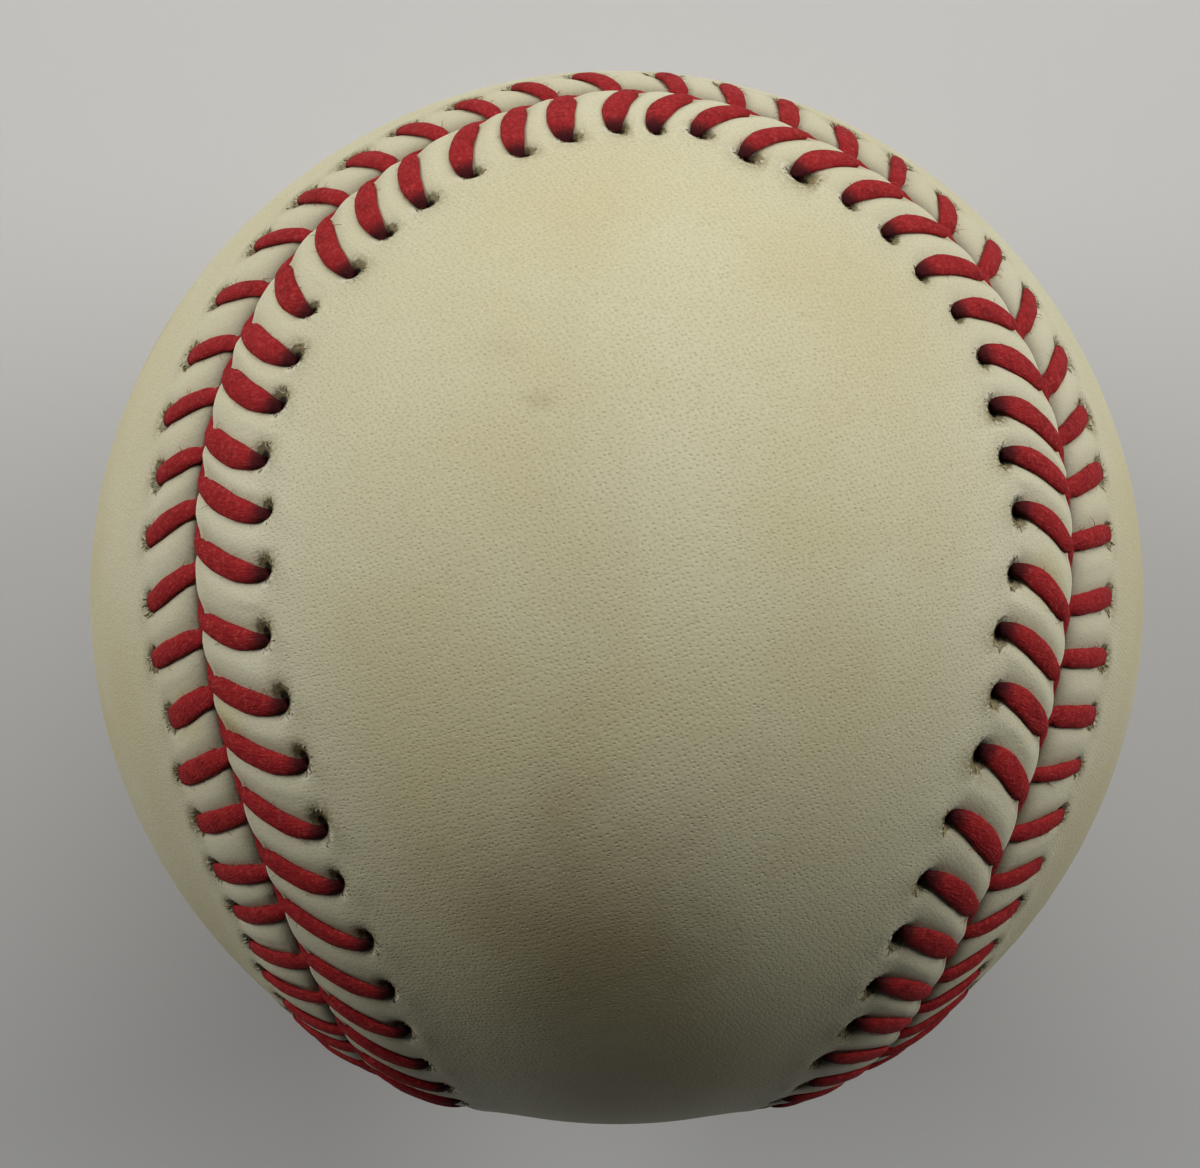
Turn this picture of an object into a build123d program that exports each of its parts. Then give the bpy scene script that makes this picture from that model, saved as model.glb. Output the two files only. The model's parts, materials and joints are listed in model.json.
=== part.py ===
"""A baseball: a cork and rubber pill, four windings, two leather panels and red lacing.

The ball's centre is the origin. Panel a has its two lobes at +Z and -Z and its waist at -Y. Panel b has
its lobes at +X and -X and its waist at +Y. The seam between them is one closed curve round the ball.
"""

from build123d import *
import bisect
import math
import os

os.makedirs("parts", exist_ok=True)

# The pill at the centre, in millimetres
CORK_DIAMETER = 20.6
BLACK_RUBBER_WALL = 3.15
WASHER_THICKNESS = 1.2
RED_RUBBER_WALL = 3.15

# The windings over the pill, each as the depth of yarn that it adds
FOUR_PLY_WOOL_DEPTH = 14.65
WHITE_WOOL_DEPTH = 1.75
GREY_WOOL_DEPTH = 2.25
COTTON_DEPTH = 0.5

# Room between one layer and the next
LAYER_CLEARANCE = 0.02

# The leather cover: its hide, its narrowest width from seam to seam and its pressed lips beside the seam
COVER_THICKNESS = 1.3
WAIST_WIDTH = 29.0
LIP_LEATHER = 0.95
LIP_RAMP_WIDTH = 2.0
CHANNEL_MARGIN = 0.8

# The lacing: flat waxed thread with bevelled edges, and the needle holes that it passes
STITCH_COUNT = 108
THREAD_THICKNESS = 0.6
THREAD_WIDTH = 1.3
THREAD_FLAT = 0.7
THREAD_CLEARANCE = 0.08
THREAD_LAP = 0.2
HOLE_SETBACK = 5.6
HOLE_CLEARANCE = 0.05

# How far each panel's stitches lean along the seam, and where the first pair of holes is, in pitches
LEAD_A = 2.6
LEAD_B = 1.1
FIRST_STITCH = 0.65

# How finely the seam is followed, and how far the cutting shapes stand clear of what they cut
SEAM_SPANS = 16
POINTS_PER_SPAN = 7
LENGTH_STEPS = 4000
SMALL_TURN = 1e-4
CUT_MARGIN = 0.5

# Radii of the layers, from the centre outwards
cork_radius = CORK_DIAMETER / 2
black_bore = cork_radius + LAYER_CLEARANCE
black_radius = black_bore + BLACK_RUBBER_WALL
red_bore = black_radius + LAYER_CLEARANCE
red_radius = red_bore + RED_RUBBER_WALL
four_ply_bore = red_radius + LAYER_CLEARANCE
four_ply_radius = four_ply_bore + FOUR_PLY_WOOL_DEPTH
white_bore = four_ply_radius + LAYER_CLEARANCE
white_radius = white_bore + WHITE_WOOL_DEPTH
grey_bore = white_radius + LAYER_CLEARANCE
grey_radius = grey_bore + GREY_WOOL_DEPTH
cotton_bore = grey_radius + LAYER_CLEARANCE
cotton_radius = cotton_bore + COTTON_DEPTH
cover_bore = cotton_radius + LAYER_CLEARANCE
cover_radius = cover_bore + COVER_THICKNESS

# Half the waist's width as an angle at the centre
waist_angle = WAIST_WIDTH / (2 * cover_radius)


def seam_direction(turn):
    """Unit vector to the seam: a great circle swung by one angle and wavered twice a turn by another."""
    swing = (math.pi / 2 - waist_angle) * math.cos(turn)
    spin = turn / 2 + waist_angle * math.sin(2 * turn)
    return Vector(math.cos(swing) * math.cos(spin), -math.sin(swing), math.cos(swing) * math.sin(spin))


def seam_along(turn):
    """Unit vector along the seam, the way that turn grows."""
    return (seam_direction(turn + SMALL_TURN) - seam_direction(turn - SMALL_TURN)).normalized()


def beside_seam(turn, setback):
    """Unit vector to a point beside the seam, with setback counted over the cover towards panel a."""
    direction = seam_direction(turn)
    across = direction.cross(seam_along(turn))
    angle = setback / cover_radius
    return direction * math.cos(angle) + across * math.sin(angle)


# Length along the seam, for evenly spaced stitches
turns = [4 * math.pi * step / LENGTH_STEPS for step in range(LENGTH_STEPS + 1)]
lengths = [0.0]
for before, after in zip(turns[:-1], turns[1:]):
    lengths.append(lengths[-1] + cover_radius * (seam_direction(after) - seam_direction(before)).length)
seam_length = lengths[-1]
stitch_pitch = seam_length / STITCH_COUNT

# The slot that a straight run of thread needs under a lip, and the lip over it
longest_lean = max(LEAD_A, LEAD_B, stitch_pitch - LEAD_A, stitch_pitch - LEAD_B)
run_sag = (HOLE_SETBACK**2 + longest_lean**2) / (8 * cover_radius)
thread_slot = THREAD_THICKNESS + 2 * THREAD_CLEARANCE + run_sag
lip_bore = cover_bore + thread_slot
lip_radius = lip_bore + LIP_LEATHER
lip_rise = lip_radius - cover_radius

# Where the thread runs under and over a lip, and the room that it needs at the seam and at the needle holes
under_radius = cover_bore + run_sag + THREAD_CLEARANCE + THREAD_THICKNESS / 2
over_radius = lip_radius + run_sag + THREAD_CLEARANCE + THREAD_THICKNESS / 2
middle_radius = (under_radius + over_radius) / 2
seam_half_gap = math.hypot(THREAD_FLAT, THREAD_THICKNESS) / 2 + THREAD_CLEARANCE
hole_radius = THREAD_WIDTH / 2 + HOLE_CLEARANCE
channel_reach = HOLE_SETBACK + hole_radius + CHANNEL_MARGIN


def turn_at(length):
    """The seam's turn at a length along it."""
    within = length % seam_length
    step = bisect.bisect_right(lengths, within) - 1
    share = (within - lengths[step]) / (lengths[step + 1] - lengths[step])
    return turns[step] + share * (turns[step + 1] - turns[step])


def seam_span(radius, setback, span):
    """One span of the closed curve beside the seam at one radius."""
    first = 4 * math.pi * span / SEAM_SPANS
    step = 4 * math.pi / SEAM_SPANS / (POINTS_PER_SPAN - 1)
    ends = [
        beside_seam(turn + SMALL_TURN, setback) - beside_seam(turn - SMALL_TURN, setback)
        for turn in (first, first + step * (POINTS_PER_SPAN - 1))
    ]
    return Edge.make_spline(
        [beside_seam(first + step * i, setback) * radius for i in range(POINTS_PER_SPAN)],
        tangents=[end.normalized() for end in ends],
    )


def seam_wall(inner_radius, inner_setback, outer_radius, outer_setback):
    """Ruled wall that stands along the whole seam between two radii."""
    return Shell(
        [
            Face.make_surface_from_curves(
                seam_span(inner_radius, inner_setback, span),
                seam_span(outer_radius, outer_setback, span),
            )
            for span in range(SEAM_SPANS)
        ]
    )


def shell_beside(inner_radius, outer_radius, wall, towards_b, pose):
    """The part of a spherical shell that a wall along the seam leaves on one panel's side."""
    with BuildPart(pose) as shell:
        Sphere(outer_radius)
        Sphere(inner_radius, mode=Mode.SUBTRACT)
        split(bisect_by=wall, keep=Keep.ALL)
    return shell.solids().sort_by(Axis.Y)[-1 if towards_b else 0]


def save(piece, name):
    """Label a finished piece and write it."""
    piece.label = name
    export_step(piece, f"parts/{name}.step", write_pcurves=False)


# Cork core
with BuildPart() as cork_core:
    Sphere(cork_radius)
save(cork_core.part, "cork_core")

# Two black rubber cups round the cork, with the washer's thickness left between them
cup_face = WASHER_THICKNESS / 2 + LAYER_CLEARANCE
for name, keep, face in (
    ("black_rubber_cup_upper", Keep.TOP, cup_face),
    ("black_rubber_cup_lower", Keep.BOTTOM, -cup_face),
):
    with BuildPart() as black_rubber_cup:
        Sphere(black_radius)
        Sphere(black_bore, mode=Mode.SUBTRACT)
        split(bisect_by=Plane.XY.offset(face), keep=keep)
    save(black_rubber_cup.part, name)

# Red rubber washer between the cups
with BuildPart() as red_rubber_washer:
    with BuildSketch():
        Circle(black_radius)
    extrude(amount=WASHER_THICKNESS / 2, both=True)
    Sphere(black_bore, mode=Mode.SUBTRACT)
    Sphere(black_radius, mode=Mode.INTERSECT)
save(red_rubber_washer.part, "red_rubber_washer")

# Closed layers round the pill
for name, bore, radius in (
    ("red_rubber_layer", red_bore, red_radius),
    ("four_ply_wool_winding", four_ply_bore, four_ply_radius),
    ("white_wool_winding", white_bore, white_radius),
    ("grey_wool_winding", grey_bore, grey_radius),
    ("cotton_winding", cotton_bore, cotton_radius),
):
    with BuildPart() as layer:
        Sphere(radius)
        Sphere(bore, mode=Mode.SUBTRACT)
    save(layer.part, name)


def stitch_place(station):
    """Length along the seam at one pair of needle holes."""
    return (station + FIRST_STITCH) * stitch_pitch


def needle_hole(station, side):
    """Plane just over the lip at one needle hole, facing outwards."""
    outwards = beside_seam(turn_at(stitch_place(station)), side * HOLE_SETBACK)
    return Plane(origin=outwards * (lip_radius + CUT_MARGIN), z_dir=outwards)


def cover_panel(side):
    """One leather panel: a hide with raised lips, a thread channel under them and needle holes.

    The spheres' poles and joint lines lie along the other panel's middle, clear of this one.
    """
    towards_b = side < 0
    pose = Plane((0, 0, 0), x_dir=(0, side, 0), z_dir=(0, 0, 1) if towards_b else (1, 0, 0))
    edge = side * seam_half_gap
    reach = side * channel_reach
    ramp_run = side * LIP_RAMP_WIDTH
    inside = cover_bore - CUT_MARGIN
    outside = lip_radius + CUT_MARGIN
    gap_wall = seam_wall(inside, edge, outside, edge)
    channel_wall = seam_wall(inside - CUT_MARGIN, reach, outside, reach)
    ramp = seam_wall(
        cover_radius - lip_rise,
        reach + 2 * ramp_run,
        lip_radius + lip_rise,
        reach - ramp_run,
    )
    with BuildPart() as panel:
        add(shell_beside(cover_bore, lip_radius, gap_wall, towards_b, pose))
        add(shell_beside(inside, lip_bore, channel_wall, not towards_b, pose), mode=Mode.SUBTRACT)
        add(shell_beside(cover_radius, lip_radius + lip_rise / 2, ramp, towards_b, pose), mode=Mode.SUBTRACT)
        with Locations(*[needle_hole(station, side) for station in range(STITCH_COUNT)]):
            Hole(hole_radius, LIP_LEATHER + 2 * CUT_MARGIN)
    return panel.part


def stitch(station, side):
    """One stitch: thread from the seam under a lip and up a needle hole, then back over the lip to the seam.

    Each run is level across its width, so the thread turns between them inside the hole, where they lap.
    """
    hole_place = stitch_place(station)
    own_lead, other_lead = (LEAD_A, LEAD_B) if side > 0 else (LEAD_B, LEAD_A)
    first_place = hole_place + stitch_pitch - other_lead
    last_place = hole_place - own_lead
    under_route = (
        (first_place, 0, middle_radius),
        (first_place, 0, under_radius),
        (hole_place, HOLE_SETBACK, under_radius),
        (hole_place, HOLE_SETBACK, middle_radius + THREAD_LAP),
    )
    over_route = (
        (hole_place, HOLE_SETBACK, middle_radius - THREAD_LAP),
        (hole_place, HOLE_SETBACK, over_radius),
        (last_place, 0, over_radius),
        (last_place, 0, middle_radius),
    )
    with BuildPart() as thread:
        for route in (under_route, over_route):
            points = [
                beside_seam(turn_at(place), side * setback) * radius for place, setback, radius in route
            ]
            with BuildLine():
                Polyline(*points)
            with BuildSketch(Plane(points[0], x_dir=points[0].cross(points[2]), z_dir=points[1] - points[0])):
                with BuildLine():
                    Polyline(
                        (-THREAD_WIDTH / 2, 0),
                        (-THREAD_FLAT / 2, -THREAD_THICKNESS / 2),
                        (THREAD_FLAT / 2, -THREAD_THICKNESS / 2),
                        (THREAD_WIDTH / 2, 0),
                        (THREAD_FLAT / 2, THREAD_THICKNESS / 2),
                        (-THREAD_FLAT / 2, THREAD_THICKNESS / 2),
                        close=True,
                    )
                make_face()
            sweep(transition=Transition.RIGHT)
    return thread.part


# The two leather panels
for name, side in (("cover_panel_a", 1), ("cover_panel_b", -1)):
    save(cover_panel(side), name)

# One thread on two needles: each strand takes the panels in turn, with one stitch at each pair of holes
for name, first_side in (("stitching_strand_a", 1), ("stitching_strand_b", -1)):
    sides = [first_side if station % 2 == 0 else -first_side for station in range(STITCH_COUNT)]
    with BuildPart() as strand:
        add([stitch(station, side) for station, side in enumerate(sides)], mode=Mode.REPLACE)
    save(strand.part, name)
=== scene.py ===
"""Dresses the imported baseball: worn cream leather panels, pressed lips, needle holes and waxed red lacing.

Lengths are in millimetres until a mesh is made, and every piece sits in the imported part's own frame. A place
is a length along the seam, and a setback is a distance over the cover from the seam, counted into a panel.
"""

import json
import math
from types import SimpleNamespace

import bpy
import numpy as np
from mathutils import Matrix, Vector

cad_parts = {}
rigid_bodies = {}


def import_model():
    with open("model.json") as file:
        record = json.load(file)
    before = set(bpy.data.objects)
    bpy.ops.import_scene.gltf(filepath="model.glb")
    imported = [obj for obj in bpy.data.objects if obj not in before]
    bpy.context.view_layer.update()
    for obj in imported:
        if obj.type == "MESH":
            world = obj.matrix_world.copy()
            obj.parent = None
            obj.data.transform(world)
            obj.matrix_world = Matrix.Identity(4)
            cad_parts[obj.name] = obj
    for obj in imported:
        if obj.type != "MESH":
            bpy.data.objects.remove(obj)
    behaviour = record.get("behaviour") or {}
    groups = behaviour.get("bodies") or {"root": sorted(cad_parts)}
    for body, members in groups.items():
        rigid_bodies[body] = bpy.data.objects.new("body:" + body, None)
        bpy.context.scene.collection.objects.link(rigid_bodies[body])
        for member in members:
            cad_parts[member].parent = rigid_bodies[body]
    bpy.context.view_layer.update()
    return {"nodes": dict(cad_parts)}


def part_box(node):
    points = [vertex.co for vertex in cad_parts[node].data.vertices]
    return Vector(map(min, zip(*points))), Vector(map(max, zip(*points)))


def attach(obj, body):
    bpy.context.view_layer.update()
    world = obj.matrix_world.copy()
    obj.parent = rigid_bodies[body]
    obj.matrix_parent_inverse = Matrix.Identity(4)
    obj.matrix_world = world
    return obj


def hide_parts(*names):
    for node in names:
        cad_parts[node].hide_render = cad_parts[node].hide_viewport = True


for leftover in list(bpy.data.objects):
    bpy.data.objects.remove(leftover)

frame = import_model()

MM = 0.001

# The cover, the seam and the needle holes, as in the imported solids
LAYER_CLEARANCE = 0.02
THREAD_SLOT = 0.89
COVER_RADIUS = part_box("cover_panel_a")[1].z / MM
COVER_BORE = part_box("cotton_winding")[1].z / MM + LAYER_CLEARANCE
LIP_BORE = COVER_BORE + THREAD_SLOT
CHANNEL_REACH = 7.1
WAIST_WIDTH = 29.0
WAIST_ANGLE = WAIST_WIDTH / (2 * COVER_RADIUS)
STITCH_COUNT = 108
HOLE_SETBACK = 5.6
FIRST_STITCH = 0.65

# What differs between the panels: a's lip stands high with a cut edge that gets a painted highlight, b's is
# lower and rolls into the seam, with more soil and painted shade in its crease
PANEL_A = SimpleNamespace(
    side=1,
    lead=2.6,
    lean_power=1.55,
    lip_rise=0.5,
    edge_setback=0.02,
    edge_draw=0.55,
    roll_radius=0.3,
    roll_share=0.8,
    hole_upstream=0.30,
    rim_share=1.0,
    grime_beyond=0.42,
    crease_share=0.5,
    crease_reach=0.2,
    creased_at_threads_only=True,
    cut_edge_share=1.0,
    thread_sunk=0.0,
    thread_tail=1.7,
    thread_dark_from=0.80,
    thread_half_widths=(0.3, 0.5, 0.6, 0.5, 0.40, 0.42, 0.60, 0.79, 0.82, 0.72, 0.48, 0.16),
)
PANEL_B = SimpleNamespace(
    side=-1,
    lead=1.1,
    lean_power=1.15,
    lip_rise=0.36,
    edge_setback=0.30,
    edge_draw=0.30,
    roll_radius=1.1,
    roll_share=0.6,
    hole_upstream=0.05,
    rim_share=0.2,
    grime_beyond=0.62,
    crease_share=1.0,
    crease_reach=0.9,
    creased_at_threads_only=False,
    cut_edge_share=0.0,
    thread_sunk=0.14,
    thread_tail=0.6,
    thread_dark_from=0.93,
    thread_half_widths=(0.3, 0.5, 0.6, 0.5, 0.52, 0.58, 0.66, 0.71, 0.70, 0.66, 0.56, 0.28),
)

# The stretch of panel b's row that leans more steeply: its middle and reach in stitches, and the extra lead
STEEP_MIDDLE = 19.5
STEEP_REACH = 4.5
STEEP_LEAD = 1.35

# How unevenly a hand sewer works
PLACE_SPREAD = 0.12
SETBACK_SPREAD = 0.28
SETBACK_LIMITS = (-0.7, 0.6)
LEAD_SPREAD = 0.3
LEAD_LIMITS = (-0.6, 0.6)
FULLNESS_SPREAD = 0.07
HOLE_SPREAD = 0.12
USUAL_GRIME = 0.75
GRIME_SPREAD = 0.3
GRIME_LIMITS = (0.15, 1.3)
PILLOW_SPREAD = 0.2

# The lip beside the seam: where it starts and tops out, and the width and fade of a thread's pull on it
LIP_START = 10.5
LIP_TOP = 2.5
DRAW_WIDTH = 0.95
DRAW_FADE = 1.3

# The groove under a thread, and the pillow of leather between two threads
PRESS_WIDTH = 0.85
PRESS_DEPTH = 0.30
PRESS_FROM_SEAM = (0.0, 0.5)
PRESS_TO_HOLE = (-0.5, 0.4)
PILLOW_SHARE = 0.3
PILLOW_GAP = 1.25
PILLOW_FROM_SEAM = (0.2, 1.8)
PILLOW_TO_HOLE = (-2.2, 0.6)

# A needle hole: its pit, its torn rim, the grime round it and the ruck of leather beyond it
PIT_ALONG = 0.74
PIT_ACROSS = 0.50
PIT_BEYOND = 0.16
PIT_DEPTH = 0.62
RIM_AT = 1.25
RIM_WIDTH = 0.32
RIM_HEIGHT = 0.07
RIM_PAST_THREAD = (-0.5, 0.3)
RIM_BEYOND_HOLE = (-0.5, 0.1)
RIM_CLEANED = 0.8
GRIME_UPSTREAM = 1.7
GRIME_ALONG = 1.05
GRIME_ACROSS = 0.85
RUCK_HEIGHT = 0.07
RUCK_WIDTH = 1.0
RUCK_BEYOND = 1.5
RUCK_REACH = 0.6

# Soil and painted shade in the seam crease, and a painted highlight along the cut edge
CREASE_WIDTH = 1.2
CUT_EDGE_REACH = 0.22
CUT_EDGE_GAP = 1.1

# A panel's middle line: how far it runs past a lobe's middle, and how its points crowd there
LOBE_END = math.radians(25)
MIDDLE_POWER = 1.7

# How finely the seam is followed, and how many columns of a panel fall to a stitch
TURN_STEPS = 8000
SMALL_TURN = 1e-4
COLUMNS_PER_STITCH = 14

# Rows of a panel: shares of its field, setbacks beside the seam, shares down the cut edge and underneath
FIELD_SHARES = np.linspace(0, 1, 11)[:-1]
BAND_SETBACKS = np.concatenate(
    [
        np.linspace(11.0, 7.8, 7),
        np.linspace(7.3, 4.4, 15),
        np.linspace(4.1, 1.1, 11),
        np.linspace(0.85, 0, 7),
    ]
)
WALL_SHARES = np.array([0.3, 0.65, 1.0])
UNDER_SHARES = np.linspace(0, 1, 5)[1:]

# The mark of distance from the seam: the setback where it is full, and its start and reach on the field
SEAM_FAR = 20.0
FIELD_START = 0.5
FIELD_REACH = 10.0

# Flat maps are in centimetres
MAP_SCALE = 0.1

# The thread under a lip: its lift off the winding, then the share of its way to the hole, a step and a height
THREAD_LIFT = 0.5
UNDER_KNOTS = (
    (0.0, 0.0, 0.6),
    (0.0, 0.6, 0.0),
    (0.5, 0.0, 0.0),
    (1.0, -0.35, 0.05),
    (1.0, 0.05, 0.45),
    (1.0, -0.02, 0.92),
)

# The thread over a lip: share of its setback and height over the cover, then its end in the seam
OVER_KNOTS = ((0.88, 0.372), (0.66, 0.532), (0.43, 0.552), (0.22, 0.492), (0.06, 0.272))
TAIL_SETBACK = 0.02
TAIL_HEIGHT = -0.088

# Where rings of thread lie, counted in knots: close at the hole and over the lip
HOLE_KNOT = 4
RISEN_KNOT = 6.4
LAST_KNOT = 11
RING_KNOTS = np.concatenate(
    [
        np.linspace(0, HOLE_KNOT, 6, endpoint=False),
        np.linspace(HOLE_KNOT, RISEN_KNOT, 8, endpoint=False),
        np.linspace(RISEN_KNOT, LAST_KNOT, 11),
    ]
)

# The thread itself: half its depth at each knot, its plies, and how far apart the stitches' maps are set
THREAD_SIDES = 20
THREAD_HALF_DEPTHS = (0.2, 0.25, 0.26, 0.25, 0.24, 0.25, 0.27, 0.28, 0.28, 0.28, 0.26, 0.14)
PLY_COUNT = 4
PLY_DEPTH = 0.035
PLY_TWIST = 2.2
MAP_SHIFT = 90

# Loose fibres of hide round each needle hole
FRINGE_PER_HOLE = 20
FRINGE_PAST_HALF_TURN = 0.25
FRINGE_RING = (0.65, 1.05)
FRINGE_ALONG = 0.85
FRINGE_ACROSS = 0.56
FRINGE_BEYOND = 0.24
FRINGE_LENGTH = (0.10, 0.36)
FRINGE_SWERVE = 0.6
FRINGE_LIFT = (0.02, 0.11)
FRINGE_ROOT = 0.12
FRINGE_TIP_SHARE = 0.5
FRINGE_THICKNESS = (0.028, 0.060)

# Loose fibres of thread along each stitch
FUZZ_PER_STITCH = 10
FUZZ_SPAN = (0.12, 0.95)
FUZZ_FROM_MIDDLE = (0.35, 0.72)
FUZZ_OUT = (0.1, 0.5)
FUZZ_RUN = 0.45
FUZZ_LIFT = (0.0, 0.25)
FUZZ_ROOT = 0.1
FUZZ_TIP = 0.12
FUZZ_BOW = 0.3
FUZZ_THICKNESS = (0.014, 0.026)

# Each loose fibre's mesh, its taper to the tip, and a tilt that steadies the rings of one that stands up
FIBRE_SIDES = 3
FIBRE_RINGS = 5
FIBRE_TAPER = 0.6
FIBRE_TILT = 0.01

SEWER_SEED = 41
chance = np.random.default_rng(SEWER_SEED)


def unit(vectors):
    """Vectors scaled to length one."""
    return vectors / np.linalg.norm(vectors, axis=-1, keepdims=True)


def smooth(low, high, value):
    """Eased step: nought below low, one above high and a cubic ease between them."""
    share = np.clip((value - low) / (high - low), 0, 1)
    return share * share * (3 - 2 * share)


def bump_at(value, width):
    """Bell curve of a distance, one at nought and 1/e at the width."""
    return np.exp(-((value / width) ** 2))


def seam_direction(turn):
    """Unit directions to the seam.

    A great circle is swung by the cosine of the turn and wavered by the sine of twice the turn.
    """
    swing = (math.pi / 2 - WAIST_ANGLE) * np.cos(turn)
    spin = turn / 2 + WAIST_ANGLE * np.sin(2 * turn)
    return np.stack([np.cos(swing) * np.cos(spin), -np.sin(swing), np.cos(swing) * np.sin(spin)], axis=-1)


seam_turns = np.linspace(0, 4 * math.pi, TURN_STEPS + 1)
seam_steps = np.linalg.norm(np.diff(seam_direction(seam_turns), axis=0), axis=-1) * COVER_RADIUS
seam_places = np.concatenate([[0.0], np.cumsum(seam_steps)])
SEAM_LENGTH = seam_places[-1]
PITCH = SEAM_LENGTH / STITCH_COUNT


def beside_seam(place, setback):
    """Unit directions beside the seam.

    The seam's own direction is turned towards panel a by the setback over the cover's radius.
    """
    turn = np.interp(np.mod(place, SEAM_LENGTH), seam_places, seam_turns)
    outward = seam_direction(turn)
    along = unit(seam_direction(turn + SMALL_TURN) - seam_direction(turn - SMALL_TURN))
    across = np.cross(outward, along)
    angle = (setback / COVER_RADIUS)[..., None]
    return outward * np.cos(angle) + across * np.sin(angle)


def uneven(spread, limits=(-np.inf, np.inf), usual=0.0):
    """One chance number for each stitch: a bell curve about the usual number, kept between two limits."""
    return np.clip(chance.normal(usual, spread, STITCH_COUNT), *limits)


class Lacing:
    """One panel's row of stitches, sewn by an uneven hand: its needle holes and the lean of its threads."""

    def __init__(self, panel, steeper):
        self.panel = panel
        self.hole_place = (np.arange(STITCH_COUNT) + FIRST_STITCH) * PITCH + uneven(PLACE_SPREAD)
        self.hole_setback = HOLE_SETBACK + uneven(SETBACK_SPREAD, SETBACK_LIMITS)
        self.usual_lead = panel.lead + steeper
        self.lead = self.usual_lead + uneven(LEAD_SPREAD, LEAD_LIMITS)
        self.fullness = 1 + uneven(FULLNESS_SPREAD)
        self.hole_size = 1 + uneven(HOLE_SPREAD)
        self.grime = uneven(GRIME_SPREAD, GRIME_LIMITS, USUAL_GRIME)
        self.pillow = 1 + uneven(PILLOW_SPREAD)

    def thread_place(self, stitch, setback):
        """Place of a stitch's thread at a setback: a power curve from its hole back to the seam."""
        share = np.clip(setback / self.hole_setback[stitch], 0, 1)
        return self.hole_place[stitch] - self.lead[stitch] * (1 - share) ** self.panel.lean_power

    def nearest(self, place, setback):
        """Index of the stitch whose thread is nearest along the seam, and the distance past it."""
        share = np.clip(setback / HOLE_SETBACK, 0, 1)
        count = place / PITCH - FIRST_STITCH
        lead = np.interp(count, np.arange(STITCH_COUNT), self.usual_lead, period=STITCH_COUNT)
        leaned = count + lead * (1 - share) ** self.panel.lean_power / PITCH
        stitch = np.round(leaned).astype(int) % STITCH_COUNT
        past = place - self.thread_place(stitch, setback)
        return stitch, np.mod(past + SEAM_LENGTH / 2, SEAM_LENGTH) - SEAM_LENGTH / 2


steeper_lead = STEEP_LEAD * bump_at(np.arange(STITCH_COUNT) - STEEP_MIDDLE, STEEP_REACH)
lacing_a = Lacing(PANEL_A, np.zeros(STITCH_COUNT))
lacing_b = Lacing(PANEL_B, steeper_lead)


def make_piece(name, points, faces, material):
    """Mesh object in metres from an array of points and arrays of faces, smooth, on the ball's body."""
    mesh = bpy.data.meshes.new(name)
    mesh.from_pydata((points * MM).tolist(), [], [face for block in faces for face in block.tolist()])
    mesh.polygons.foreach_set("use_smooth", np.ones(len(mesh.polygons), bool))
    mesh.materials.append(material)
    mesh.update()
    piece = bpy.data.objects.new(name, mesh)
    bpy.context.scene.collection.objects.link(piece)
    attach(piece, "root")
    return piece


def set_mark(piece, name, values):
    """Store one number for each point under a name that the material reads."""
    mark = piece.data.attributes.new(name, "FLOAT", "POINT")
    mark.data.foreach_set("value", np.ascontiguousarray(values, np.float32).ravel())


def set_map(piece, name, pairs):
    """Store a flat map from one pair of numbers for each point."""
    layer = piece.data.uv_layers.new(name=name)
    corner = np.zeros(len(piece.data.loops), np.int32)
    piece.data.loops.foreach_get("vertex_index", corner)
    layer.data.foreach_set("uv", np.ascontiguousarray(pairs[corner] * MAP_SCALE, np.float32).ravel())


def lip_edge(lacing, place):
    """Setback of a panel's cut edge: tongues between the stitches, drawn back under each thread."""
    past = lacing.nearest(place, np.zeros_like(place))[1]
    return lacing.panel.edge_setback + lacing.panel.edge_draw * bump_at(past, DRAW_WIDTH)


def hole_shape(lacing, stitch, past, beyond):
    """Shares of the pit, the torn rim and the grime at the nearest needle hole.

    The pit is a bell curve of the distance from the hole in hole sizes, the rim is a ring round the pit's
    far side, and the grime is a wider bell curve, cleaned where the rim stands up.
    """
    panel = lacing.panel
    size = lacing.hole_size[stitch]
    along = (past + panel.hole_upstream) / (PIT_ALONG * size)
    across = (beyond - PIT_BEYOND) / (PIT_ACROSS * size)
    around = np.hypot(along, across)
    pit = bump_at(around, 1.0)
    far_side = smooth(*RIM_PAST_THREAD, past) * smooth(*RIM_BEYOND_HOLE, beyond)
    rim = panel.rim_share * bump_at(around - RIM_AT, RIM_WIDTH) * far_side
    soil_along = bump_at(past + GRIME_UPSTREAM * panel.hole_upstream, GRIME_ALONG * size)
    soil_across = bump_at(beyond - panel.grime_beyond, GRIME_ACROSS * size)
    grime = soil_along * soil_across * lacing.grime[stitch] * (1 - RIM_CLEANED * rim)
    return pit, rim, grime


def edge_roll(panel, setback):
    """Drop of a panel's edge into the seam: a quarter circle of the roll's radius, flattened by its share."""
    inside = np.clip(1 - setback / panel.roll_radius, 0, 1)
    return panel.roll_share * panel.roll_radius * (1 - np.sqrt(1 - inside**2))


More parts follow.
